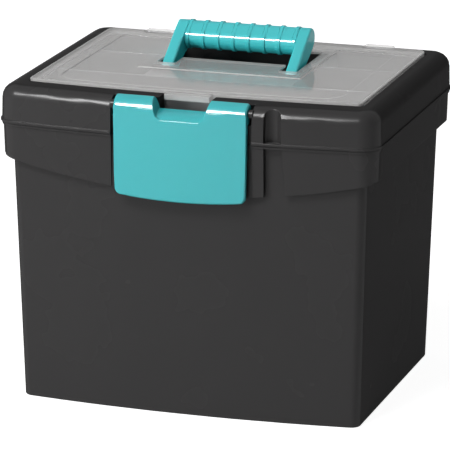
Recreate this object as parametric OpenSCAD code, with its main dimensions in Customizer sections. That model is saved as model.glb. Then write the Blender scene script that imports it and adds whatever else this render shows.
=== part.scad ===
// Portable file box: a drafted bin with an apron round its rim, a lid with a storage tray
// under a translucent cover, a swinging carry handle and a front latch.
// Millimetres, +Z up, front towards -Y, resting on z = 0.

/* [Rim] */
// Width across the rim lip, which is the widest part of the box
rim_w = 339.4; // [300:0.2:380]
// Depth of the rim lip, from its bowed front to its back
rim_d = 268.2; // [240:0.1:320]
// How far the middle of the front bows forward of its ends
front_bow = 11.4; // [6:0.1:16]
// Plan radius of the rim corners
rim_corner_r = 20; // [17:0.5:34]
// Thickness of the lip plates at the seam between bin and lid
lip_t = 2.4; // [1.8:0.1:3]
// How far the bin's lip lies inside the lid's lip
bin_lip_inset = 1.2; // [0.4:0.1:1.6]

/* [Bin] */
// Height of the bin at its rim
bin_h = 246.4; // [200:0.1:300]
// Thickness of the bin wall
bin_wall = 2.6; // [2:0.1:3.4]
// Thickness of the bin floor
floor_t = 3; // [2.4:0.1:4]
// Inset of each side wall from the lip at the rim
wall_inset_side = 11.5; // [8:0.1:13]
// Inset of the front wall from the lip at the rim
wall_inset_front = 6.2; // [5.8:0.1:9]
// Inset of the back wall from the lip at the rim
wall_inset_back = 7.8; // [7:0.1:9]
// Extra inset of each side wall at the floor
draft_side = 6.4; // [3:0.1:12]
// Extra inset of the front wall at the floor
draft_front = 9; // [1:0.1:12]
// Extra inset of the back wall at the floor
draft_back = 8.7; // [1:0.1:12]
// Bow of the front wall at the floor
foot_bow = 9.8; // [4:0.1:12]
// Plan radius of the wall corners at the rim
wall_corner_r = 9; // [7:0.5:18]
// Plan radius of the wall corners at the floor
foot_corner_r = 8.5; // [7:0.5:18]
// Radius of the edge between walls and floor
foot_edge_r = 1.2; // [0.8:0.1:4]

/* [Apron] */
// Drop of the apron below the rim at the sides and back
apron_drop = 28.4; // [24:0.1:40]
// Drop of the apron below the rim at the middle of the front
apron_dip = 48.4; // [42:0.1:56]
// Radius of the curved lower edge of the apron at the front
apron_dip_r = 720; // [600:10:1000]
// Thickness of the apron
apron_t = 2.2; // [1.6:0.1:3]
// Inset of the apron from the lip
apron_inset = 2.2; // [1:0.1:3]
// Depth of the gutter beside the file rails
gutter_depth = 6.4; // [5:0.1:9]

/* [Lid] */
// Height of the lid above the seam
lid_h = 32.5; // [28:0.1:40]
// Thickness of the lid wall
lid_wall = 2.6; // [2:0.1:3.4]
// Radius of the long edges round the top of the lid
lid_edge_r = 12; // [8:0.5:14]
// Inset of the lid wall from the lip
lid_inset = 1; // [0.4:0.1:1.6]
// Clearance between parts that only rest on each other
seat_gap = 0.3; // [0.2:0.05:0.5]

/* [Tray] */
// Depth of the storage tray below the cover ledge
tray_depth = 25.6; // [18:0.1:27]
// Thickness of the tray walls and floor
tray_wall = 2.4; // [1.8:0.1:3]
// Width of the ledge under the edge of the cover
ledge_w = 4.5; // [3:0.1:7]
// Place of the cross divider in front of the handle well
front_divider_y = -33.5; // [-45:0.5:-24]
// Place of the cross dividers beside the handle well
side_divider_y = 46; // [20:0.5:80]

/* [Cover] */
// Width of the cover
cover_w = 296; // [260:1:300]
// Distance of the cover's front edge from the lip at the middle
cover_front_inset = 30.5; // [28:0.1:36]
// Distance of the cover's back edge from the lip
cover_back_inset = 22; // [20:0.1:25]
// Bow of the cover's front edge
cover_bow = 6.4; // [4:0.1:8]
// How far the cover stands above the top of the lid
cover_proud = 2.4; // [1.6:0.1:3]
// Thickness of the cover plate
cover_t = 2.2; // [1.8:0.1:3]
// Depth of the cover's rim below the top of the lid
cover_skirt = 3.2; // [2:0.1:4]
// Clearance round the cover in its recess
cover_gap = 1.5; // [0.8:0.1:2]
// Depth of the recessed panel in the cover
panel_depth = 0.8; // [0.4:0.1:1]
// Half width of the recessed panel
panel_hw = 126.5; // [110:0.5:130]
// Width of the finger tab at the front of the cover
tab_w = 40; // [28:1:42]
// Reach of the finger tab beyond the cover's front edge
tab_reach = 11; // [6:0.5:13]

/* [Handle] */
// Width across the handle legs
handle_w = 122.6; // [100:0.2:130]
// Thickness of each leg, across the box
leg_t = 10.3; // [8:0.1:13]
// Length from the pivot to the end of the grip
handle_len = 59; // [50:0.5:62]
// Radius of the legs round the pivot
leg_end_r = 7; // [6:0.1:8]
// Radius of the grip
grip_r = 9.5; // [8:0.1:11]
// Length of the flat band between the two rounds of the grip
grip_flat = 8; // [4:0.5:12]
// Angle of the handle's front face above the horizontal, as it leans back
handle_lean = 33; // [10:1:60]
// Number of finger rings on the grip
ring_count = 8; // [4:1:10]
// Width of a finger ring
ring_w = 3.2; // [2:0.1:4]
// Height of a finger ring
ring_h = 0.7; // [0.3:0.1:1]
// Radius of the handle pivot pins
handle_pin_r = 3; // [2:0.1:3.5]
// Distance of the pivot behind the middle of the rim
handle_pivot_y = 6.6; // [0:0.2:12]

/* [Latch] */
// Width of the latch
latch_w = 118; // [90:1:122]
// Height of the latch, from its lowest point to its hinge axis
latch_len = 79.7; // [70:0.1:86]
// Thickness of the latch plate
latch_t = 2.8; // [2.2:0.1:3.4]
// How far the latch stands proud of the lip
latch_proud = 1.9; // [1:0.1:3]
// Radius of the rolled top of the latch
latch_roll_r = 9; // [7:0.1:9.5]
// Radius of the latch's upper front edge, where it follows the lid's edge
latch_brow_r = 14; // [11:0.5:16]
// Radius of the latch's curved lower edge
latch_sweep_r = 510; // [300:10:900]
// Radius of the latch's lower corners
latch_corner_r = 6; // [3:0.5:9]
// How much each side of the latch draws in towards its foot
latch_taper = 1; // [0:0.1:3]
// Half width of the finger notch between the two rolled ears
notch_hw = 23; // [21.5:0.5:30]
// Radius of the latch pivot pins
latch_pin_r = 2; // [1.5:0.1:2.5]

/* [Tie groove] */
// Distance of the groove from the middle of the front
groove_x = 80.2; // [74:0.2:110]
// Radius of the groove
groove_r = 7.7; // [5:0.1:8]

/* [Hinges] */
// Distance of each lid hinge from the middle
lid_hinge_x = 96; // [60:1:125]
// Width of the lid's knuckle in a lid hinge
lid_knuckle_w = 18; // [12:1:26]
// Width of each bin knuckle in a lid hinge
bin_knuckle_w = 8; // [5:1:12]
// Radius of the lid hinge knuckles
knuckle_r = 3.4; // [3:0.1:4.5]
// Radius of the lid hinge pins
lid_pin_r = 1.5; // [1:0.1:2]
// Distance of each cover hinge from the middle
cover_hinge_x = 102; // [90:1:110]
// Width of the cover's hinge knuckles
cover_knuckle_w = 25.6; // [18:0.2:32]
// Radius of the cover's hinge knuckles
cover_knuckle_r = 3.6; // [3:0.1:4]
// Radius of the cover hinge pins
cover_pin_r = 1.2; // [0.8:0.1:1.4]
// Radial running clearance of a pin in a turning piece
pin_play = 0.06; // [0.02:0.01:0.1]

/* [Hidden] */

charcoal = [0.055, 0.055, 0.057];
teal = [0.09, 0.50, 0.52];
smoke = [0.62, 0.61, 0.60, 0.75];
steel = [0.06, 0.06, 0.065];

over = 1;
arc_steps = 10;
least_r = 1.5;
corner_steps = 8;
edge_steps = 5;

// Rim and seam
rim_hw = rim_w / 2;
rim_back = rim_d / 2;
front_r = bow_r(rim_hw, front_bow);
front_axis_y = front_r - rim_back;
lid_bottom = bin_h + seat_gap;
lid_top = lid_bottom + lid_h;

// Bin wall
wall_top_z = bin_h - seat_gap;
apron_top_z = bin_h - gutter_depth;
apron_draft = 1.5;
lid_draft = 0.5;

// Lid hinge, behind the lip at the back
hinge_gap = 0.5;
lid_hinge_y = rim_back + hinge_gap + knuckle_r;
lid_hinge_z = bin_h - knuckle_r - over;
knuckle_side_gap = 0.4;
arm_foot = 5;
lid_pin_len = lid_knuckle_w + 2 * bin_knuckle_w + 2 * knuckle_side_gap;

// Cover and its recess
cover_hw = cover_w / 2;
cover_front = rim_back - cover_front_inset;
cover_back = rim_back - cover_back_inset;
cover_top = lid_top + cover_proud;
cover_under = cover_top - cover_t;
skirt_bottom = lid_top - cover_skirt;
skirt_t = 2;
ledge_z = skirt_bottom - seat_gap;
cover_front_r = 5;
cover_back_r = 8;
cover_edge = 0.8;
panel_edge = 9;
panel_back_edge = 22.5;
panel_front_r = 20;
panel_back_r = 8;

// Tray
tray_hw = cover_hw + cover_gap - ledge_w;
tray_front = cover_front + cover_gap - ledge_w;
tray_back = cover_back + cover_gap - ledge_w;
tray_floor_z = ledge_z - tray_depth;

// Cover hinge, in notches of the lid's back edge, with straps that reach over the rim
hinge_behind = 12.4;
hinge_below = 2.4;
cover_hinge_y = cover_back + hinge_behind;
cover_hinge_z = lid_top - hinge_below;
hinge_room = 0.5;
cover_pin_grip = 4;
notch_side_gap = 1.2;
cover_pin_half = cover_knuckle_w / 2 + notch_side_gap + cover_pin_grip;

// Handle and its well
handle_hw = handle_w / 2;
leg_gap = 2.4;
hole_hw = handle_hw + leg_gap;
well_room = 0.5;
well_hw = hole_hw + well_room;
well_wall = 2.7;
pivot_sink = 0.6;
handle_pivot_z = cover_top - pivot_sink - leg_end_r;
hole_room_front = 3.8;
hole_room_back = 8.9;
hole_front = handle_pivot_y - leg_end_r - hole_room_front;
hole_back = handle_pivot_y + handle_len + hole_room_back;
tongue_room = 4;
tongue_behind = 11.4;
tongue_hw = handle_hw - leg_t - tongue_room;
tongue_y = handle_pivot_y + tongue_behind;
well_margin = 2;
well_top_z = cover_under - seat_gap;
well_out_x = well_hw + well_wall;
well_out_front = hole_front - well_margin - well_wall;
well_out_back = hole_back + well_margin + well_wall;
platform_side = 10;
platform_reach = 22.6;
platform_hw = hole_hw + platform_side;
platform_front = hole_front - platform_reach;
grip_hw = handle_hw - leg_t;
ring_end_gap = 0.7;
ring_pitch = (2 * (grip_hw - ring_end_gap) - ring_w) / (ring_count - 1);
pin_seat = 6;
grip_step = 0.2;

// Latch and its recess
latch_hw = latch_w / 2;
roll_lap = 0.15;
latch_face_y = -(rim_back + latch_proud);
latch_axis_y = latch_face_y + latch_roll_r - roll_lap;
latch_back_y = latch_axis_y + latch_roll_r;
roll_proud = 2;
latch_axis_z = lid_top - latch_roll_r + roll_proud;
latch_brow_y = latch_face_y + latch_brow_r;
latch_brow_z = lid_top + roll_proud - latch_brow_r;
latch_low_z = latch_axis_z - latch_len;
recess_gap = 3.3;
recess_hw = latch_hw + recess_gap;
recess_room = 5.2;
recess_y = latch_face_y + latch_t + recess_room;
roll_room = 0.5;
flange_t = 2.2;
flange_depth = 2.4;
snap_reach = 1.4;
notch_flare = 2;
scoop_hw = 16.8;
scoop_rise = 6.7;

latch_pin_in = 13;
latch_pin_out = 4;
scoop_lip_z = latch_axis_z - latch_roll_r;
scoop_mid_share = 0.4;
scoop_mid_z = scoop_lip_z + scoop_mid_share * scoop_rise;
finger_drop = 11;
finger_floor_z = latch_axis_z - finger_drop;
finger_back_y = over - cover_front - cover_gap;
block_t = 2.6;
catch_hw = 30;
catch_t = 2;
catch_reach = 3.4;
catch_rise = 6;
catch_z = bin_h - apron_dip + catch_rise;
recess_back_y = -(rim_back - wall_inset_front - 2 * bin_wall);

// Tie groove
groove_axis_y = -(rim_back - lip_t);
slot_back_y = wall_inset_front - rim_back + 2 * bin_wall;
slot_flare = 3.2;

// Centres the box's own depth on the origin
shift_y = -(latch_face_y + lid_hinge_y + knuckle_r) / 2;

// Radius of an arc that spans a half width with a given bow
function bow_r(hw, bow) = (hw * hw + bow * bow) / (2 * bow);

// Points on an arc
function arc_pts(cx, cy, r, a0, a1, n) =
    [for (i = [0:n]) let (a = a0 + (a1 - a0) * i / n) [cx + r * cos(a), cy + r * sin(a)]];

// Side view of the latch's finger scoop, from front to back, sunk by a depth
function scoop_pts(sink) =
    [for (k = [[-over, 0], [1, 0], [2.6, 1.9], [5.6, 3.8], [10, 5.4], [2 * latch_roll_r + over, scoop_rise]])
        [latch_face_y + k[0], scoop_lip_z + k[1] - sink]];

// Points on a bowed front, without its ends
function bow_pts(y0, R, a) =
    [for (i = [1:2 * arc_steps - 1]) let (b = a * (i / arc_steps - 1)) [R * sin(b), y0 - R * cos(b)]];

// Plan outline with a bowed front and rounded corners
function plan_pts(hw, front, back, bow, rf, rb) =
    let (R = bow_r(hw, bow), y0 = R - front, a = asin((hw - rf) / (R - rf)))
    let (yc = y0 - sqrt(pow(R - rf, 2) - pow(hw - rf, 2)))
    concat(
        bow_pts(y0, R, a),
        arc_pts(hw - rf, yc, rf, -90 + a, 0, corner_steps),
        arc_pts(hw - rb, back - rb, rb, 0, 90, corner_steps),
        arc_pts(rb - hw, back - rb, rb, 90, 180, corner_steps),
        arc_pts(rf - hw, yc, rf, 180, 270 - a, corner_steps));

// Outline of the rim, drawn in by an inset
function rim_plan(inset) = let (r = rim_corner_r - inset)
    plan_pts(rim_hw - inset, rim_back - inset, rim_back - inset, front_bow, r, r);

// Outline of the drafted bin wall at a height, drawn in by an inset
function wall_plan(z, inset) =
    let (k = 1 - z / bin_h)
    let (r = wall_corner_r + (foot_corner_r - wall_corner_r) * k - inset / 2)
    plan_pts(rim_hw - wall_inset_side - draft_side * k - inset,
        rim_back - wall_inset_front - draft_front * k - inset,
        rim_back - wall_inset_back - draft_back * k - inset,
        front_bow + (foot_bow - front_bow) * k, r, r);

// Outline of the cover, drawn in by an inset
function cover_plan(inset) =
    plan_pts(cover_hw - inset, cover_front - inset, cover_back - inset, cover_bow,
        max(cover_front_r - inset, least_r), max(cover_back_r - inset, least_r));

// Solid between outlines that have the same number of points, given as [height, outline]
module loft(levels) {
    n = len(levels[0][1]);
    last = len(levels) - 1;
    polyhedron(
        points = [for (l = levels) for (p = l[1]) [p[0], p[1], l[0]]],
        faces = concat(
            [[for (i = [0:n - 1]) i]],
            [for (k = [0:last - 1]) for (i = [0:n - 1]) let (j = (i + 1) % n)
                [k * n + i, k * n + n + i, k * n + n + j]],
            [for (k = [0:last - 1]) for (i = [0:n - 1]) let (j = (i + 1) % n)
                [k * n + i, k * n + n + j, k * n + j]],
            [[for (i = [n - 1:-1:0]) last * n + i]]));
}

// Straight block of the rim outline
module rim_slice(z, inset, t) {
    translate([0, 0, z])
        linear_extrude(t)
            polygon(rim_plan(inset));
}

// Bin wall as a solid, with a rounded edge at the floor
module wall_solid(z0, z1, inset) {
    loft(concat(
        [for (i = [0:edge_steps]) let (a = 90 * i / edge_steps, z = z0 + foot_edge_r * (1 - cos(a)))
            [z, wall_plan(z, inset + foot_edge_r * (1 - sin(a)))]],
        [[z1, wall_plan(z1, inset)]]));
}

// Apron round the rim as a solid, slightly drawn in towards its lower edge
module apron_solid(z0, z1, inset) {
    loft([for (z = [z0, z1]) [z, rim_plan(apron_inset + inset + apron_draft * (bin_h - z) / apron_dip)]]);
}

// All that lies below the apron's lower edge
module below_apron() {
    low = bin_h - apron_drop;
    corner_y = -(rim_back - rim_corner_r);
    translate([-rim_w, corner_y, -over])
        cube([2 * rim_w, rim_d, low + over]);
    difference() {
        translate([-rim_w, corner_y - rim_d, -over])
            cube([2 * rim_w, rim_d, low + over]);
        translate([0, over, bin_h - apron_dip + apron_dip_r])
            rotate([90, 0, 0])
                cylinder(r = apron_dip_r, h = rim_d, $fn = 180);
    }
}

// Block behind the lip at the front, for what is let into it
module front_block(x0, x1, y1, z0, z1) {
    intersection() {
        translate([x0, -rim_back, z0])
            cube([x1 - x0, y1 + rim_back, z1 - z0]);
        translate([0, front_axis_y, z0])
            cylinder(r = front_r - apron_inset - apron_draft - apron_t / 2, h = z1 - z0, $fn = 360);
    }
}

// Barrel along X
module barrel(x0, x1, y, z, r) {
    translate([x0, y, z])
        rotate([0, 90, 0])
            cylinder(r = r, h = x1 - x0, $fn = 48);
}

// One of the bin's two knuckles in each lid hinge, with its web
module bin_knuckle(x0) {
    barrel(x0, x0 + bin_knuckle_w, lid_hinge_y, lid_hinge_z, knuckle_r);
    translate([x0, rim_back - apron_inset - apron_t, lid_hinge_z - knuckle_r])
        cube([bin_knuckle_w, lid_hinge_y - rim_back + apron_inset + apron_t, 2 * knuckle_r]);
}

// Bores for the two lid hinge pins
module lid_pin_bores(r) {
    for (s = [-1, 1])
        barrel(s * lid_hinge_x - lid_pin_len, s * lid_hinge_x + lid_pin_len, lid_hinge_y, lid_hinge_z, r);
}

// Low rib that the latch snaps behind
module catch_rib() {
    translate([-catch_hw, recess_y - catch_reach, catch_z])
        cube([2 * catch_hw, catch_reach + over, catch_t]);
}

// Slot in the apron below the tie groove, a little wider at its foot
module apron_slot() {
    translate([0, slot_back_y, 0])
        rotate([90, 0, 0])
            linear_extrude(rim_d)
                polygon([[groove_x - groove_r, 0], [groove_x - groove_r, bin_h - lip_t],
                    [groove_x + groove_r, bin_h - lip_t], [groove_x + groove_r + slot_flare, bin_h - apron_dip],
                    [groove_x + groove_r + slot_flare, 0]]);
}

module bin() {
    color(charcoal)
        difference() {
            union() {
                difference() {
                    union() {
                        wall_solid(0, wall_top_z, 0);
                        difference() {
                            union() {
                                difference() {
                                    union() {
                                        apron_solid(bin_h - 2 * apron_dip, bin_h, 0);
                                        rim_slice(bin_h - lip_t, bin_lip_inset, lip_t);
                                    }
                                    difference() {
                                        apron_solid(bin_h - 3 * apron_dip, bin_h + lid_h, apron_t);
                                        rim_slice(apron_top_z - floor_t, apron_inset, floor_t);
                                    }
                                    apron_slot();
                                }
                                front_block(-recess_hw - block_t, recess_hw + block_t,
                                    recess_back_y, bin_h - apron_dip - over, bin_h);
                            }
                            below_apron();
                        }
                        for (s = [-1, 1]) {
                            bin_knuckle(s * lid_hinge_x - lid_pin_len / 2);
                            bin_knuckle(s * lid_hinge_x + lid_pin_len / 2 - bin_knuckle_w);
                        }
                    }
                    wall_solid(floor_t, bin_h + lid_h, bin_wall);
                    translate([-recess_hw, -rim_back - over, 0])
                        cube([2 * recess_hw, recess_y + rim_back + over, bin_h + over]);
                }
                catch_rib();
            }
            lid_pin_bores(lid_pin_r);
        }
}

// Lid outside: a slightly drafted wall with a rounded top edge
module lid_solid(inset, edge_r, z0) {
    loft(concat(
        [[z0, rim_plan(lid_inset + inset)]],
        [for (i = [0:edge_steps]) let (a = 90 * i / edge_steps)
            [lid_top - inset - edge_r + edge_r * sin(a),
                rim_plan(lid_inset + inset + lid_draft + edge_r * (1 - cos(a)))]]));
}

// Straight block of the cover's outline
module cover_slice(z, inset, t) {
    translate([0, 0, z])
        linear_extrude(t)
            polygon(cover_plan(inset));
}

// One tray compartment
module compartment(x0, x1, y0, y1) {
    translate([x0, y0, tray_floor_z])
        cube([x1 - x0, y1 - y0, tray_depth + over]);
}

// The tray's compartments: one along the front, two on each side, one at the back
module compartments() {
    t = tray_wall / 2;
    intersection() {
        union() {
            compartment(-tray_hw, tray_hw, -rim_back, front_divider_y - t);
            for (x = [[-tray_hw, -well_out_x], [well_out_x, tray_hw]]) {
                compartment(x[0], x[1], front_divider_y + t, side_divider_y - t);
                compartment(x[0], x[1], side_divider_y + t, tray_back);
            }
            compartment(-well_out_x + tray_wall, well_out_x - tray_wall, well_out_back, tray_back);
        }
        cover_slice(tray_floor_z, ledge_w - cover_gap, tray_depth + over);
    }
}

// The lid's knuckle in each lid hinge, with its arm and the foot that joins it to the lid
module lid_knuckle(s) {
    x0 = s * lid_hinge_x - lid_knuckle_w / 2;
    arm_y = rim_back + hinge_gap;
    foot_z = lid_bottom + lip_t;
    barrel(x0, x0 + lid_knuckle_w, lid_hinge_y, lid_hinge_z, knuckle_r);
    translate([x0, arm_y, lid_hinge_z])
        cube([lid_knuckle_w, 2 * knuckle_r, foot_z + arm_foot - lid_hinge_z]);
    translate([x0, rim_back - lid_inset - lid_wall, foot_z])
        cube([lid_knuckle_w, lid_inset + lid_wall + hinge_gap + 2 * knuckle_r, arm_foot]);
}

// Notch in the lid's back edge for each cover hinge
module cover_hinge_notch(s) {
    hw = cover_knuckle_w / 2 + notch_side_gap;
    deep_y = cover_hinge_y - cover_knuckle_r - hinge_room;
    translate([s * cover_hinge_x - hw, cover_back - over, cover_hinge_z - hinge_room])
        cube([2 * hw, rim_back - cover_back + 2 * over, 3 * cover_knuckle_r]);
    translate([s * cover_hinge_x - hw, deep_y, cover_hinge_z - cover_knuckle_r - hinge_room])
        cube([2 * hw, rim_back - deep_y + over, 3 * cover_knuckle_r]);
}

// Solid round each cover hinge notch, which gives it a floor and holds the pin
module cover_hinge_block(s) {
    hw = cover_pin_half + block_t;
    z0 = cover_hinge_z - cover_knuckle_r - hinge_room - block_t;
    intersection() {
        translate([s * cover_hinge_x - hw, cover_back - over, z0])
            cube([2 * hw, rim_back - cover_back, lid_top - z0]);
        lid_solid(lid_wall / 2, lid_edge_r - lid_wall / 2, lid_bottom);
    }
}

// Everything that is let into the lid's front: latch recess, finger recess and groove
module lid_front_cuts() {
    translate([-recess_hw, -rim_back - over, lid_bottom - over])
        cube([2 * recess_hw, recess_y + rim_back + over, latch_axis_z - lid_bottom + over]);
    barrel(-recess_hw, recess_hw, latch_axis_y, latch_axis_z, latch_roll_r + roll_room);
    translate([-recess_hw, -rim_back - over, latch_axis_z])
        cube([2 * recess_hw, latch_axis_y + rim_back + over, lid_top]);
    translate([-notch_hw, -rim_back - over, finger_floor_z])
        cube([2 * notch_hw, finger_back_y + rim_back + over, lid_top]);
    translate([groove_x, groove_axis_y, lid_bottom + lip_t])
        cylinder(r = groove_r, h = lid_h, $fn = 48);
    translate([groove_x - groove_r, -rim_back - over, lid_bottom + lip_t])
        cube([2 * groove_r, groove_axis_y + rim_back + over, lid_h]);
}

// Solid behind those cuts, kept within the lid's skin
module lid_front_blocks() {
    intersection() {
        union() {
            front_block(-recess_hw - block_t - latch_pin_out, recess_hw + block_t + latch_pin_out,
                latch_axis_y + latch_roll_r + block_t, finger_floor_z - block_t, lid_top);
            front_block(-recess_hw - block_t, recess_hw + block_t, recess_y + block_t, lid_bottom, lid_top);
            front_block(-notch_hw - block_t, notch_hw + block_t,
                finger_back_y + block_t, finger_floor_z - block_t, lid_top);
            front_block(groove_x - groove_r - block_t, groove_x + groove_r + block_t,
                groove_axis_y + groove_r + block_t, lid_bottom, lid_top);
        }
        lid_solid(lid_wall / 2, lid_edge_r - lid_wall / 2, lid_bottom);
    }
}

// The lid's skin, tray, well and blocks, before anything is let into them
module lid_mass() {
    difference() {
        lid_solid(0, lid_edge_r, lid_bottom);
        lid_solid(lid_wall, lid_edge_r - lid_wall, lid_bottom - over);
    }
    difference() {
        rim_slice(lid_bottom, 0, lip_t);
        rim_slice(lid_bottom - over, lid_inset + lid_wall, lip_t + 2 * over);
    }
    cover_slice(tray_floor_z - tray_wall, ledge_w - cover_gap - tray_wall, tray_depth + tray_wall);
    cover_slice(ledge_z - lid_wall, -cover_gap - lid_wall, lid_top - ledge_z + lid_wall / 2);
    translate([-well_out_x, well_out_front, tray_floor_z - tray_wall])
        cube([2 * well_out_x, well_out_back - well_out_front, tray_depth + tray_wall]);
    lid_front_blocks();
    for (s = [-1, 1]) {
        lid_knuckle(s);
        cover_hinge_block(s);
    }
}

// Walls of the handle well that rise to the cover and carry the pivot pins
module well_rim() {
    difference() {
        translate([-well_out_x, well_out_front, ledge_z - over])
            cube([2 * well_out_x, well_out_back - well_out_front, well_top_z - ledge_z + over]);
        translate([-well_hw, well_out_front + well_wall, ledge_z - 2 * over])
            cube([2 * well_hw, well_out_back - well_out_front - 2 * well_wall, lid_h]);
    }
}

module lid() {
    color(charcoal)
        difference() {
            union() {
                difference() {
                    lid_mass();
                    cover_slice(ledge_z, -cover_gap, lid_h);
                    compartments();
                    translate([-well_hw, well_out_front + well_wall, tray_floor_z])
                        cube([2 * well_hw, well_out_back - well_out_front - 2 * well_wall, lid_h]);
                    lid_front_cuts();
                    for (s = [-1, 1])
                        cover_hinge_notch(s);
                }
                well_rim();
                for (x = [-recess_hw - over, latch_hw + seat_gap])
                    barrel(x, x + recess_gap - seat_gap + over, latch_axis_y, latch_axis_z, 2 * latch_pin_r);
            }
            for (s = [-1, 1])
                barrel(s * cover_hinge_x - cover_pin_half, s * cover_hinge_x + cover_pin_half,
                    cover_hinge_y, cover_hinge_z, cover_pin_r);
            lid_pin_bores(lid_pin_r + pin_play);
            barrel(-well_out_x - over, well_out_x + over, handle_pivot_y, handle_pivot_z, handle_pin_r);
            barrel(-recess_hw - latch_pin_out, recess_hw + latch_pin_out,
                latch_axis_y, latch_axis_z, latch_pin_r);
        }
}

// Plan of the cover's hole: wide beside the handle legs, with a tongue between them
module cover_hole() {
    translate([-hole_hw, tongue_y, skirt_bottom])
        cube([2 * hole_hw, hole_back - tongue_y, lid_h]);
    for (x = [-hole_hw, tongue_hw])
        translate([x, hole_front, skirt_bottom])
            cube([hole_hw - tongue_hw, tongue_y - hole_front + over, lid_h]);
}

// Shallow panel let into the top of the cover, round a platform at the handle
module cover_panel() {
    difference() {
        translate([0, 0, cover_top - panel_depth])
            linear_extrude(panel_depth + over)
                polygon(plan_pts(panel_hw, cover_front - panel_edge, cover_back - panel_back_edge,
                    cover_bow, panel_front_r, panel_back_r));
        translate([-platform_hw, platform_front, cover_top - 2 * panel_depth])
            cube([2 * platform_hw, rim_d, lid_h]);
    }
}

// One of the cover's hinge knuckles, with the arm that reaches over the lid's back edge
module cover_knuckle(s) {
    x0 = s * cover_hinge_x - cover_knuckle_w / 2;
    barrel(x0, x0 + cover_knuckle_w, cover_hinge_y, cover_hinge_z, cover_knuckle_r);
    translate([x0, cover_back - skirt_t, cover_hinge_z])
        cube([cover_knuckle_w, cover_hinge_y - cover_back + skirt_t, cover_knuckle_r]);
}

module storage_cover() {
    color(smoke)
        difference() {
            union() {
                difference() {
                    loft([[skirt_bottom, cover_plan(0)], [cover_top - cover_edge, cover_plan(0)],
                        [cover_top, cover_plan(cover_edge)]]);
                    cover_slice(skirt_bottom - over, skirt_t, cover_under - skirt_bottom + over);
                }
                translate([-tab_w / 2, -(cover_front + tab_reach), skirt_bottom])
                    cube([tab_w, tab_reach + skirt_t, cover_top - cover_edge - skirt_bottom]);
                for (s = [-1, 1])
                    cover_knuckle(s);
            }
            cover_panel();
            cover_hole();
            for (s = [-1, 1])
                barrel(s * cover_hinge_x - cover_pin_half, s * cover_hinge_x + cover_pin_half,
                    cover_hinge_y, cover_hinge_z, cover_pin_r + pin_play);
        }
}

// Side view of a leg, folded flat: pivot end, straight sides and the round end of the grip
module leg_profile() {
    rise = leg_end_r - grip_r;
    far = handle_len - grip_r;
    near = far - grip_flat;
    low = 270 + 2 * atan2(rise, near);
    polygon(concat(
        arc_pts(0, 0, leg_end_r, 90, low, 2 * arc_steps),
        arc_pts(near, rise, grip_r, low, 270, 2),
        arc_pts(far, rise, grip_r, 270, 450, 2 * arc_steps)));
}

// Side view of the grip, a round bar with a flat band
module grip_profile(r) {
    rise = leg_end_r - grip_r;
    far = handle_len - grip_r;
    polygon(concat(
        arc_pts(far - grip_flat, rise, r, 90, 270, 2 * arc_steps),
        arc_pts(far, rise, r, 270, 450, 2 * arc_steps)));
}

// Extrudes a side view across the box
module across(x0, x1) {
    translate([x0, 0, 0])
        rotate([90, 0, 90])
            linear_extrude(x1 - x0)
                children();
}

module finger_ring(x) {
    across(x - ring_w / 2, x + ring_w / 2)
        intersection() {
            grip_profile(grip_r + ring_h);
            translate([0, leg_end_r - 3 * grip_r])
                square([handle_len + grip_r, 3 * grip_r]);
        }
}

module handle() {
    color(teal)
        translate([0, handle_pivot_y, handle_pivot_z])
            rotate([handle_lean, 0, 0])
                difference() {
                    union() {
                        across(-handle_hw, -grip_hw)
                            leg_profile();
                        across(grip_hw, handle_hw)
                            leg_profile();
                        across(-grip_hw - leg_t / 2, grip_hw + leg_t / 2)
                            grip_profile(grip_r - grip_step);
                        for (i = [0:ring_count - 1])
                            finger_ring((i - (ring_count - 1) / 2) * ring_pitch);
                    }
                    for (s = [-1, 1])
                        barrel(s * handle_hw - pin_seat - seat_gap, s * handle_hw + pin_seat + seat_gap,
                            0, 0, handle_pin_r + pin_play);
                }
}

// Everything behind a surface that follows the bow of the front, a distance before the lip
module behind_bow(proud) {
    translate([0, front_axis_y, 0])
        cylinder(r = front_r + proud, h = 2 * bin_h, $fn = 360);
}

// Front view of the latch, drawn in by an inset, pushed back through the front
module latch_outline(inset, top_z) {
    R = latch_sweep_r - inset;
    hw = latch_hw - inset;
    bow = R - sqrt(R * R - hw * hw);
    rf = latch_corner_r - inset / 2;
    rotate([90, 0, 0])
        linear_extrude(rim_d)
            polygon([for (p = plan_pts(hw, -latch_low_z - inset, top_z, bow, rf, flange_t))
                [p[0] * (1 - latch_taper * max(0, latch_axis_z - p[1]) / latch_len / hw), p[1]]]);
}

// Finger scoop between the ears: sides that flare upwards and a floor that rises to the back
module latch_scoop() {
    intersection() {
        rotate([90, 0, 0])
            linear_extrude(rim_d)
                polygon([[-scoop_hw, scoop_lip_z - over], [scoop_hw, scoop_lip_z - over],
                    [scoop_hw, scoop_lip_z], [notch_hw - notch_flare, scoop_mid_z],
                    [notch_hw, latch_axis_z], [notch_hw + notch_flare, lid_top + over],
                    [notch_hw + notch_flare, lid_top + lid_h], [-notch_hw - notch_flare, lid_top + lid_h],
                    [-notch_hw - notch_flare, lid_top + over], [-notch_hw, latch_axis_z],
                    [notch_flare - notch_hw, scoop_mid_z], [-scoop_hw, scoop_lip_z]]);
        across(-rim_hw, rim_hw)
            polygon(concat([[latch_face_y - over, lid_top + lid_h]], scoop_pts(0),
                [[latch_back_y + over, lid_top + lid_h]]));
    }
}

// Hollow under the web between the ears
module latch_hollow() {
    across(flange_t - notch_hw + notch_flare, notch_hw - notch_flare - flange_t)
        polygon(concat([[latch_face_y + latch_t, latch_axis_z - 2 * latch_roll_r]],
            [for (p = scoop_pts(flange_t)) if (p[0] > latch_face_y + latch_t) p],
            [[latch_back_y + over, latch_axis_z - 2 * latch_roll_r]]));
}

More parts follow.
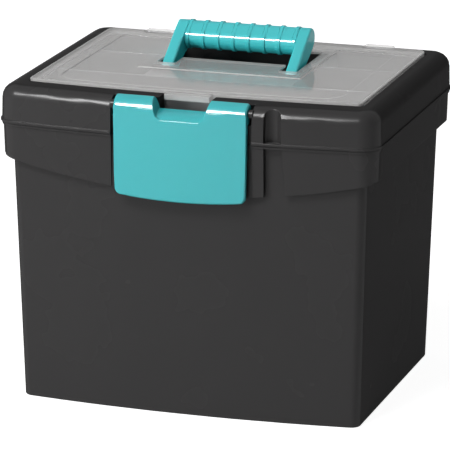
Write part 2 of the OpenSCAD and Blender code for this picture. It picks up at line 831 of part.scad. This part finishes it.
// Rolled top of the latch, with its upper front rounded off to the lid's own edge
module latch_roll() {
    intersection() {
        barrel(-latch_hw, latch_hw, latch_axis_y, latch_axis_z, latch_roll_r);
        union() {
            barrel(-rim_hw, rim_hw, latch_brow_y, latch_brow_z, latch_brow_r);
            translate([-rim_hw, latch_face_y - over, 0])
                cube([rim_w, 4 * latch_roll_r, latch_brow_z]);
        }
    }
}

module latch() {
    color(teal)
        difference() {
            union() {
                difference() {
                    intersection() {
                        union() {
                            translate([-latch_hw, latch_face_y - over, latch_low_z - over])
                                cube([latch_w, over + latch_t + flange_depth, latch_len + over]);
                            latch_roll();
                        }
                        behind_bow(latch_proud);
                        latch_outline(0, latch_axis_z + latch_roll_r + 2 * flange_t);
                    }
                    intersection() {
                        behind_bow(latch_proud - latch_t);
                        latch_outline(flange_t, latch_axis_z - latch_roll_r);
                    }
                    latch_scoop();
                    latch_hollow();
                }
                translate([-catch_hw, latch_face_y + latch_t - over, catch_z - catch_t - seat_gap])
                    cube([2 * catch_hw, snap_reach + over, catch_t]);
            }
            for (s = [-1, 1])
                barrel(s * latch_hw - latch_pin_in - seat_gap, s * latch_hw + latch_pin_in + seat_gap,
                    latch_axis_y, latch_axis_z, latch_pin_r + pin_play);
        }
}

// A pin along X, from its inner to its outer end, on the left or right
module side_pin(s, x_in, x_out, y, z, r) {
    color(steel)
        barrel(s > 0 ? x_in : -x_out, s > 0 ? x_out : -x_in, y, z, r);
}

module lid_hinge_pin(s) {
    color(steel)
        barrel(s * lid_hinge_x - lid_pin_len / 2, s * lid_hinge_x + lid_pin_len / 2,
            lid_hinge_y, lid_hinge_z, lid_pin_r);
}

module cover_hinge_pin(s) {
    color(steel)
        barrel(s * cover_hinge_x - cover_pin_half, s * cover_hinge_x + cover_pin_half,
            cover_hinge_y, cover_hinge_z, cover_pin_r);
}

module handle_pin(s) {
    side_pin(s, handle_hw - pin_seat, well_out_x, handle_pivot_y, handle_pivot_z, handle_pin_r);
}

module latch_pin(s) {
    side_pin(s, latch_hw - latch_pin_in, recess_hw + latch_pin_out,
        latch_axis_y, latch_axis_z, latch_pin_r);
}

module lid_hinge_pin_left() { lid_hinge_pin(-1); }
module lid_hinge_pin_right() { lid_hinge_pin(1); }
module cover_hinge_pin_left() { cover_hinge_pin(-1); }
module cover_hinge_pin_right() { cover_hinge_pin(1); }
module handle_pin_left() { handle_pin(-1); }
module handle_pin_right() { handle_pin(1); }
module latch_pin_left() { latch_pin(-1); }
module latch_pin_right() { latch_pin(1); }

// Puts a piece where the box's own centre stands over the origin
module placed() {
    translate([0, shift_y, 0])
        children();
}

placed() bin();
placed() lid();
placed() storage_cover();
placed() handle();
placed() latch();
placed() lid_hinge_pin_left();
placed() lid_hinge_pin_right();
placed() cover_hinge_pin_left();
placed() cover_hinge_pin_right();
placed() handle_pin_left();
placed() handle_pin_right();
placed() latch_pin_left();
placed() latch_pin_right();
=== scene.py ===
"""Portable file box: charcoal bin and lid, smoke storage cover, teal handle and latch.

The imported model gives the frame. The scene is in metres, with the front towards -Y. Places on the
box are named in millimetres, and MM turns them into the scene's unit.
"""

import math

import bpy
from mathutils import Euler, Matrix, Vector


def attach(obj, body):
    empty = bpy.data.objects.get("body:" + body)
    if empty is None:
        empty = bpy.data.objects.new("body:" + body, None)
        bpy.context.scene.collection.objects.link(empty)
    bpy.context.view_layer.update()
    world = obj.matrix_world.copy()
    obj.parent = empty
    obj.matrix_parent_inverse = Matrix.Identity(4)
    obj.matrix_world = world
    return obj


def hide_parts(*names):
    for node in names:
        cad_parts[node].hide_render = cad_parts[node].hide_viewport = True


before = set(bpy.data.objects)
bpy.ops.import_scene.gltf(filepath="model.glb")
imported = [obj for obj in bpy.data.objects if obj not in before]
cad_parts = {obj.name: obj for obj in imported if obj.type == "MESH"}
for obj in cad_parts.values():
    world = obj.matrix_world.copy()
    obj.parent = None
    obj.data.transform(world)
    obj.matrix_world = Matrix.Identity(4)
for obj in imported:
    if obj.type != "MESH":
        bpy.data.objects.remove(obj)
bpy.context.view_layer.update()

MM = 0.001

# Camera: it looks at a point inside the box from the front right, a little above
LOOK_AT = Vector((-3.945, 1.877, 136.384)) * MM
CAMERA_AWAY = 3490.26 * MM
CAMERA_TURN = math.radians(17.75)
CAMERA_RISE = math.radians(15.44)
CAMERA_ROLL = math.radians(0.14)
CAMERA_ANGLE = math.radians(6.485)
CAMERA_CLIP = 50.0

# Clean-up of a solid's mesh
MERGE_NEAR = 0.03 * MM
FLAT_TURN = math.radians(0.8)
QUAD_TURN = math.radians(8)
QUAD_SKEW = math.radians(60)

# Edges of a moulding, and the shading across them
SHARP_TURN = math.radians(30)
SMOOTH_TURN = math.radians(38)
EASE_STEPS = 2
FACE_WEIGHT = 60

# Grain of a moulding, and the way its sheen changes from face on to a glance
GRAIN_DETAIL = 4.0
GRAIN_ROUGHNESS = 0.6
DRIFT_SCALE = 14.0
DRIFT_DETAIL = 3.0
RELIEF = 0.05 * MM
SHEEN_FACING = (0.25, 0.62)

# Studio: brightness of the floor and the air, and the place of the lamps
FLOOR_TONE = 0.65
FLOOR_LIFT = 0.9
FLOOR_DROP = 0.2 * MM
FLOOR_RADIUS = 9.0
FLOOR_SIDES = 96
AMBIENT = 0.11
LAMP_AIM = Vector((0, 0, 0.2))
LAMP_AWAY = 3.0


def toward(turn, rise):
    """Direction from the box to a place turned right of the front and raised."""
    return Vector((
        math.sin(turn) * math.cos(rise),
        -math.cos(turn) * math.cos(rise),
        math.sin(rise),
    ))


def deselect():
    if bpy.context.object and bpy.context.object.mode != "OBJECT":
        bpy.ops.object.mode_set(mode="OBJECT")
    bpy.ops.object.select_all(action="DESELECT")


def pick(piece):
    """Makes one piece the only one selected, and the active one."""
    deselect()
    piece.select_set(True)
    bpy.context.view_layer.objects.active = piece


def open_mesh(piece):
    """Starts editing a piece with its whole mesh selected."""
    pick(piece)
    bpy.ops.object.mode_set(mode="EDIT")
    bpy.ops.mesh.select_all(action="SELECT")


def close_mesh():
    bpy.ops.mesh.select_all(action="DESELECT")
    bpy.ops.object.mode_set(mode="OBJECT")


# Materials


def socket(group, name, kind, way, default=None):
    made = group.interface.new_socket(name, in_out=way, socket_type=kind)
    if default is not None:
        made.default_value = default


def math_node(nodes, operation):
    made = nodes.new("ShaderNodeMath")
    made.operation = operation
    return made


def moulded_grain():
    """Fine spark-eroded grain of a moulding, with slow drift in tone and gloss."""
    group = bpy.data.node_groups.new("moulded_grain", "ShaderNodeTree")
    socket(group, "Colour", "NodeSocketColor", "INPUT")
    socket(group, "Grain scale", "NodeSocketFloat", "INPUT", 1400.0)
    socket(group, "Tone drift", "NodeSocketFloat", "INPUT", 0.06)
    socket(group, "Gloss low", "NodeSocketFloat", "INPUT", 0.3)
    socket(group, "Gloss high", "NodeSocketFloat", "INPUT", 0.4)
    socket(group, "Colour", "NodeSocketColor", "OUTPUT")
    socket(group, "Roughness", "NodeSocketFloat", "OUTPUT")
    socket(group, "Height", "NodeSocketFloat", "OUTPUT")
    nodes, links = group.nodes, group.links
    given = nodes.new("NodeGroupInput")
    result = nodes.new("NodeGroupOutput")
    where = nodes.new("ShaderNodeTexCoord")
    grain = nodes.new("ShaderNodeTexNoise")
    grain.inputs["Detail"].default_value = GRAIN_DETAIL
    grain.inputs["Roughness"].default_value = GRAIN_ROUGHNESS
    drift = nodes.new("ShaderNodeTexNoise")
    drift.inputs["Scale"].default_value = DRIFT_SCALE
    drift.inputs["Detail"].default_value = DRIFT_DETAIL
    links.new(where.outputs["Object"], grain.inputs["Vector"])
    links.new(where.outputs["Object"], drift.inputs["Vector"])
    links.new(given.outputs["Grain scale"], grain.inputs["Scale"])
    links.new(grain.outputs["Fac"], result.inputs["Height"])
    gloss = nodes.new("ShaderNodeMapRange")
    links.new(drift.outputs["Fac"], gloss.inputs["Value"])
    links.new(given.outputs["Gloss low"], gloss.inputs["To Min"])
    links.new(given.outputs["Gloss high"], gloss.inputs["To Max"])
    links.new(gloss.outputs["Result"], result.inputs["Roughness"])
    # Both noises swing about a half, so their sum less one swings about nothing
    blend = math_node(nodes, "ADD")
    links.new(grain.outputs["Fac"], blend.inputs[0])
    links.new(drift.outputs["Fac"], blend.inputs[1])
    centred = math_node(nodes, "SUBTRACT")
    centred.inputs[1].default_value = 1.0
    links.new(blend.outputs["Value"], centred.inputs[0])
    swing = math_node(nodes, "MULTIPLY_ADD")
    swing.inputs[2].default_value = 1.0
    links.new(centred.outputs["Value"], swing.inputs[0])
    links.new(given.outputs["Tone drift"], swing.inputs[1])
    toned = nodes.new("ShaderNodeVectorMath")
    toned.operation = "SCALE"
    links.new(given.outputs["Colour"], toned.inputs[0])
    links.new(swing.outputs["Value"], toned.inputs["Scale"])
    links.new(toned.outputs["Vector"], result.inputs["Colour"])
    return group


GRAIN = moulded_grain()


def moulded(name, colour, grain_scale, bump, gloss, tone_drift=0.06, sheen=(0.5, 0.5)):
    """Moulded plastic with its grain; the sheen is given as seen face on and at a glance."""
    material = bpy.data.materials.new(name)
    material.use_nodes = True
    nodes, links = material.node_tree.nodes, material.node_tree.links
    shader = nodes["Principled BSDF"]
    facing = nodes.new("ShaderNodeLayerWeight")
    facing.inputs["Blend"].default_value = 0.5
    fade = nodes.new("ShaderNodeMapRange")
    fade.inputs["From Min"].default_value = SHEEN_FACING[0]
    fade.inputs["From Max"].default_value = SHEEN_FACING[1]
    fade.inputs["To Min"].default_value = sheen[0]
    fade.inputs["To Max"].default_value = sheen[1]
    links.new(facing.outputs["Facing"], fade.inputs["Value"])
    links.new(fade.outputs["Result"], shader.inputs["Specular IOR Level"])
    grain = nodes.new("ShaderNodeGroup")
    grain.node_tree = GRAIN
    grain.inputs["Colour"].default_value = (*colour, 1.0)
    grain.inputs["Grain scale"].default_value = grain_scale
    grain.inputs["Tone drift"].default_value = tone_drift
    grain.inputs["Gloss low"].default_value = gloss[0]
    grain.inputs["Gloss high"].default_value = gloss[1]
    relief = nodes.new("ShaderNodeBump")
    relief.inputs["Strength"].default_value = bump
    relief.inputs["Distance"].default_value = RELIEF
    links.new(grain.outputs["Height"], relief.inputs["Height"])
    links.new(relief.outputs["Normal"], shader.inputs["Normal"])
    links.new(grain.outputs["Colour"], shader.inputs["Base Color"])
    links.new(grain.outputs["Roughness"], shader.inputs["Roughness"])
    return material


def set_shader(material, name, value):
    material.node_tree.nodes["Principled BSDF"].inputs[name].default_value = value


charcoal = moulded(
    "charcoal_moulded",
    colour=(0.0345, 0.0335, 0.034),
    grain_scale=1400.0,
    bump=0.4,
    gloss=(0.25, 0.29),
    tone_drift=0.09,
    sheen=(0.15, 0.0008),
)
# Smooth charcoal of the tray, painted far lighter than the charcoal outside: painted light for the
# light let in through the cover
painted_light_tray = moulded(
    "charcoal_tray_painted_light",
    colour=(0.22, 0.217, 0.218),
    grain_scale=500.0,
    bump=0.002,
    gloss=(0.12, 0.15),
    tone_drift=0.05,
    sheen=(0.9, 0.9),
)
teal = moulded(
    "teal_moulded",
    colour=(0.043, 0.50, 0.538),
    grain_scale=900.0,
    bump=0.12,
    gloss=(0.14, 0.18),
    tone_drift=0.03,
    sheen=(0.5, 0.06),
)
# The handle's teal, painted lighter than the latch's same teal: painted light on the handle's faces
teal_painted_lit = moulded(
    "teal_handle_painted_light",
    colour=(0.054, 0.62, 0.66),
    grain_scale=900.0,
    bump=0.12,
    gloss=(0.14, 0.18),
    tone_drift=0.03,
    sheen=(0.5, 0.06),
)
# Mostly see-through smoke in a near-white tone; the pale tone is partly painted reflection of the
# white surroundings seen on the cover at a glance
smoke_and_painted_reflection = moulded(
    "smoke_cover_painted_reflection",
    colour=(0.97, 0.957, 0.947),
    grain_scale=700.0,
    bump=0.02,
    gloss=(0.06, 0.09),
    tone_drift=0.02,
)
set_shader(smoke_and_painted_reflection, "Alpha", 0.33)
# Denser smoke for the cover's rounded edges; it renders lighter there, partly a painted highlight
# along the edges
smoke_edge_painted_highlight = moulded(
    "smoke_cover_edge_highlight",
    colour=(0.92, 0.91, 0.90),
    grain_scale=700.0,
    bump=0.02,
    gloss=(0.06, 0.09),
    tone_drift=0.02,
)
set_shader(smoke_edge_painted_highlight, "Alpha", 0.52)
pin_steel = moulded(
    "pin_steel", colour=(0.06, 0.06, 0.065), grain_scale=2200.0, bump=0.2, gloss=(0.22, 0.34)
)
set_shader(pin_steel, "Metallic", 1.0)


def paint(piece, *materials):
    piece.data.materials.clear()
    for material in materials:
        piece.data.materials.append(material)


# Pieces: each starts from its solid's mesh


def node_copy(node, name):
    """A copy of a CAD node's mesh, its loose triangles merged into clean faces."""
    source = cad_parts[node]
    piece = bpy.data.objects.new(name, source.data.copy())
    bpy.context.scene.collection.objects.link(piece)
    open_mesh(piece)
    bpy.ops.mesh.remove_doubles(threshold=MERGE_NEAR)
    bpy.ops.mesh.dissolve_limited(angle_limit=FLAT_TURN)
    bpy.ops.mesh.select_all(action="SELECT")
    bpy.ops.mesh.tris_convert_to_quads(face_threshold=QUAD_TURN, shape_threshold=QUAD_SKEW)
    close_mesh()
    return piece


def round_edges(piece, chosen, radius, steps, slot=-1):
    """Rounds the sharp edges that a test of their two ends picks out."""
    mesh = piece.data
    normals = {}
    for face in mesh.polygons:
        for key in face.edge_keys:
            normals.setdefault(key, []).append(face.normal.copy())
    pick(piece)
    for group in (mesh.polygons, mesh.edges, mesh.vertices):
        group.foreach_set("select", [False] * len(group))
    for edge in mesh.edges:
        beside = normals.get(tuple(sorted(edge.vertices)), [])
        if len(beside) != 2 or beside[0].dot(beside[1]) > math.cos(SHARP_TURN):
            continue
        ends = [mesh.vertices[i] for i in edge.vertices]
        if chosen(ends[0].co / MM, ends[1].co / MM):
            edge.select = True
            for end in ends:
                end.select = True
    bpy.context.scene.tool_settings.mesh_select_mode = (False, True, False)
    bpy.ops.object.mode_set(mode="EDIT")
    bpy.ops.mesh.bevel(
        offset=radius * MM, segments=steps, profile=0.5, clamp_overlap=False, material=slot
    )
    close_mesh()


def ease_edges(piece, radius):
    """Takes the sharpness off all edges of a moulding that are still sharp."""
    pick(piece)
    bevel = piece.modifiers.new("eased", "BEVEL")
    bevel.width = radius * MM
    bevel.segments = EASE_STEPS
    bevel.limit_method = "ANGLE"
    bevel.angle_limit = SHARP_TURN
    bevel.use_clamp_overlap = False
    bpy.ops.object.modifier_apply(modifier=bevel.name)


def smooth(piece):
    """Smooth shading that keeps flat faces flat."""
    pick(piece)
    bpy.ops.object.shade_smooth_by_angle(angle=SMOOTH_TURN)
    weighted = piece.modifiers.new("even_shading", "WEIGHTED_NORMAL")
    weighted.keep_sharp = True
    weighted.weight = FACE_WEIGHT
    bpy.ops.object.modifier_apply(modifier=weighted.name)


def place(piece, node, body):
    """Smooths a finished piece, hangs it on the body it rides on and hides the CAD node it stands
    for.
    """
    smooth(piece)
    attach(piece, body)
    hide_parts(node)


bin_shell = node_copy("bin", "bin_shell")
paint(bin_shell, charcoal)
ease_edges(bin_shell, radius=0.4)
place(bin_shell, "bin", "bin")

# Lid: grained outside. In the tray under the cover, but not in the handle well, it gets a smooth
# charcoal painted much lighter, as painted light for the light let in through the cover
TRAY = ((-145.0, -108.5, 249.5), (145.0, 107.5, 276.2))
WELL = ((-66.5, -16.0), (66.5, 78.0))


def inside(point, box):
    return all(low < at < high for at, low, high in zip(point, *box))


lid_shell = node_copy("lid", "lid_shell")
paint(lid_shell, charcoal, painted_light_tray)
ease_edges(lid_shell, radius=0.4)
for face in lid_shell.data.polygons:
    middle = face.center / MM
    if inside(middle, TRAY) and not inside(middle, WELL):
        face.material_index = 1
place(lid_shell, "lid", "lid")

# Latch: full rounding round the plate and at the ends of its two rolled ears
LATCH_SIDE = 57.6
LATCH_FRONT_Y = -135.5
LATCH_LOW_Z = 240.0
SCOOP_SIDE = 30.0
EAR_AXIS = (-129.85, 272.2)
EAR_BORE = 5.0
EAR_LOW_Z = 263.2
EAR_ROOT_Z = 223.2


def latch_outline(a, b):
    """Edges at the plate's front rim beside and below the scoop, and at the ears' ends."""
    low, high = min(a.z, b.z), max(a.z, b.z)
    side = min(abs(a.x), abs(b.x))
    in_front = max(a.y, b.y) < LATCH_FRONT_Y
    if high < EAR_LOW_Z + 0.5:
        return in_front and (side > SCOOP_SIDE or high < LATCH_LOW_Z)
    from_axis = min(math.hypot(e.y - EAR_AXIS[0], e.z - EAR_AXIS[1]) for e in (a, b))
    at_end = side > LATCH_SIDE and from_axis > EAR_BORE and low > EAR_ROOT_Z
    return at_end and (in_front or low > EAR_LOW_Z - 1)


front_latch = node_copy("latch", "front_latch")
paint(front_latch, teal)
round_edges(front_latch, latch_outline, radius=2.0, steps=4)
ease_edges(front_latch, radius=0.7)
place(front_latch, "latch", "latch")

# Cover: rounded edges in a denser smoke where the clear plastic is seen through its thickness,
# lighter along the edges as a painted highlight
COVER_UPPER_Z = 280.6
COVER_SIDE = 146.4
PLATFORM_SIDE = (73.0, 76.5)
PLATFORM_FRONT_Y = (-36.0, -29.0)


def cover_border(a, b):
    """Top edges at the cover's sides, and at the front and sides of the handle's platform."""
    if min(a.z, b.z) < COVER_UPPER_Z:
        return False
    nearest, farthest = sorted((abs(a.x), abs(b.x)))
    at_platform_side = nearest > PLATFORM_SIDE[0]
    at_platform_front = max(a.y, b.y) < PLATFORM_FRONT_Y[1]
    platform = (
        farthest < PLATFORM_SIDE[1]
        and (at_platform_side or at_platform_front)
        and min(a.y, b.y) > PLATFORM_FRONT_Y[0]
    )
    return nearest > COVER_SIDE or platform


cover_plate = node_copy("storage_cover", "cover_plate")
paint(cover_plate, smoke_and_painted_reflection, smoke_edge_painted_highlight)
# The rounded faces take slot 1, the denser edge smoke with its painted highlight
round_edges(cover_plate, cover_border, radius=0.6, steps=3, slot=1)
ease_edges(cover_plate, radius=0.25)
place(cover_plate, "storage_cover", "cover")

# Handle: legs with soft corners, fully round outside and up to the grip inside
PIVOT = Vector((0.0, 3.9, 274.0))
PIVOT_BORE = 4.0
LEAN = math.radians(33)
UP_THE_LEG = Vector((0.0, math.cos(LEAN), math.sin(LEAN)))
LEG_OUT = 61.3
LEG_IN = 51.0
LEG_CLEAR = 30.0
ON_PLANE = 0.1


def leg_corners(a, b):
    """Long corners of a leg: its outer ones, and its inner ones below the grip."""
    if min(math.hypot(e.y - PIVOT.y, e.z - PIVOT.z) for e in (a, b)) < PIVOT_BORE:
        return False
    if min(abs(a.x), abs(b.x)) > LEG_OUT - ON_PLANE:
        return True
    inner = max(abs(abs(e.x) - LEG_IN) for e in (a, b)) < ON_PLANE
    along = max((e - PIVOT).dot(UP_THE_LEG) for e in (a, b))
    return inner and along < LEG_CLEAR + 2 * ON_PLANE


carry_handle = node_copy("handle", "carry_handle")
# The handle takes the lighter teal, painted light on its faces
paint(carry_handle, teal_painted_lit)
open_mesh(carry_handle)
bpy.ops.mesh.bisect(plane_co=(PIVOT + UP_THE_LEG * LEG_CLEAR) * MM, plane_no=UP_THE_LEG)
close_mesh()
round_edges(carry_handle, leg_corners, radius=1.8, steps=4)
ease_edges(carry_handle, radius=0.3)
place(carry_handle, "handle", "handle")

for node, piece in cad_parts.items():
    if "_pin_" in node:
        paint(piece, pin_steel)


# Studio


def seen_or_mirrored(nodes, links):
    """An output that is 1 for rays of the camera, of reflections and of clear plastic."""
    rays = nodes.new("ShaderNodeLightPath")
    seen = math_node(nodes, "MAXIMUM")
    through = math_node(nodes, "MAXIMUM")
    links.new(rays.outputs["Is Camera Ray"], seen.inputs[0])
    links.new(rays.outputs["Is Glossy Ray"], seen.inputs[1])
    links.new(seen.outputs["Value"], through.inputs[0])
    links.new(rays.outputs["Is Transmission Ray"], through.inputs[1])
    return through.outputs["Value"]


def floor_material():
    """Pale floor that renders white to the eye and still keeps the box's shadow."""
    material = bpy.data.materials.new("pale_floor")
    material.use_nodes = True
    nodes, links = material.node_tree.nodes, material.node_tree.links
    nodes.clear()
    out = nodes.new("ShaderNodeOutputMaterial")
    matt = nodes.new("ShaderNodeBsdfDiffuse")
    matt.inputs["Color"].default_value = (FLOOR_TONE, FLOOR_TONE, FLOOR_TONE, 1.0)
    lift = nodes.new("ShaderNodeEmission")
    strength = math_node(nodes, "MULTIPLY")
    strength.inputs[1].default_value = FLOOR_LIFT
    both = nodes.new("ShaderNodeAddShader")
    links.new(seen_or_mirrored(nodes, links), strength.inputs[0])
    links.new(strength.outputs["Value"], lift.inputs["Strength"])
    links.new(matt.outputs["BSDF"], both.inputs[0])
    links.new(lift.outputs["Emission"], both.inputs[1])
    links.new(both.outputs["Shader"], out.inputs["Surface"])
    return material


def studio_floor():
    deselect()
    bpy.ops.mesh.primitive_circle_add(
        vertices=FLOOR_SIDES, radius=FLOOR_RADIUS, fill_type="NGON", location=(0, 0, -FLOOR_DROP)
    )
    floor = bpy.context.object
    floor.name = "studio_floor"
    floor.data.materials.append(floor_material())


def studio_world():
    """Air that is white to the eye and in reflections, and lights the box only a little."""
    world = bpy.data.worlds.new("studio_world")
    bpy.context.scene.world = world
    world.use_nodes = True
    nodes, links = world.node_tree.nodes, world.node_tree.links
    nodes.clear()
    out = nodes.new("ShaderNodeOutputWorld")
    air = nodes.new("ShaderNodeBackground")
    air.inputs["Color"].default_value = (1.0, 1.0, 1.0, 1.0)
    level = nodes.new("ShaderNodeMapRange")
    level.inputs["To Min"].default_value = AMBIENT
    level.inputs["To Max"].default_value = 1.0
    links.new(seen_or_mirrored(nodes, links), level.inputs["Value"])
    links.new(level.outputs["Result"], air.inputs["Strength"])
    links.new(air.outputs["Background"], out.inputs["Surface"])


def soft_light(name, turn, rise, size, power, kept_from):
    """A softbox that faces the top of the box, kept from one kind of reflection."""
    data = bpy.data.lights.new(name, "AREA")
    data.shape = "RECTANGLE"
    data.size, data.size_y = size
    data.energy = power
    lamp = bpy.data.objects.new(name, data)
    bpy.context.scene.collection.objects.link(lamp)
    way = toward(math.radians(turn), math.radians(rise))
    lamp.location = LAMP_AIM + way * LAMP_AWAY
    lamp.rotation_euler = way.to_track_quat("Z", "Y").to_euler()
    lamp.visible_glossy = kept_from != "glossy"
    lamp.visible_diffuse = kept_from != "diffuse"
    lamp.visible_camera = False


def camera():
    data = bpy.data.cameras.new("view")
    data.lens_unit = "FOV"
    data.angle = CAMERA_ANGLE
    data.clip_end = CAMERA_CLIP
    eye = bpy.data.objects.new("view", data)
    bpy.context.scene.collection.objects.link(eye)
    way = toward(CAMERA_TURN, CAMERA_RISE)
    upright = Euler((math.pi / 2 - CAMERA_RISE, 0, CAMERA_TURN)).to_matrix().to_4x4()
    eye.matrix_world = (
        Matrix.Translation(LOOK_AT + way * CAMERA_AWAY)
        @ upright
        @ Matrix.Rotation(CAMERA_ROLL, 4, "Z")
    )
    bpy.context.scene.camera = eye


studio_floor()
studio_world()
soft_light("front_softbox", turn=-44, rise=10, size=(1.2, 1.0), power=40, kept_from="glossy")
soft_light("top_softbox", turn=-27, rise=50, size=(1.6, 1.0), power=48, kept_from="glossy")
soft_light("side_softbox", turn=140, rise=10, size=(1.2, 1.2), power=14, kept_from="glossy")
soft_light("gloss_strip", turn=-25, rise=40, size=(1.5, 0.5), power=200, kept_from="diffuse")
camera()
bpy.context.scene.view_settings.view_transform = "Standard"
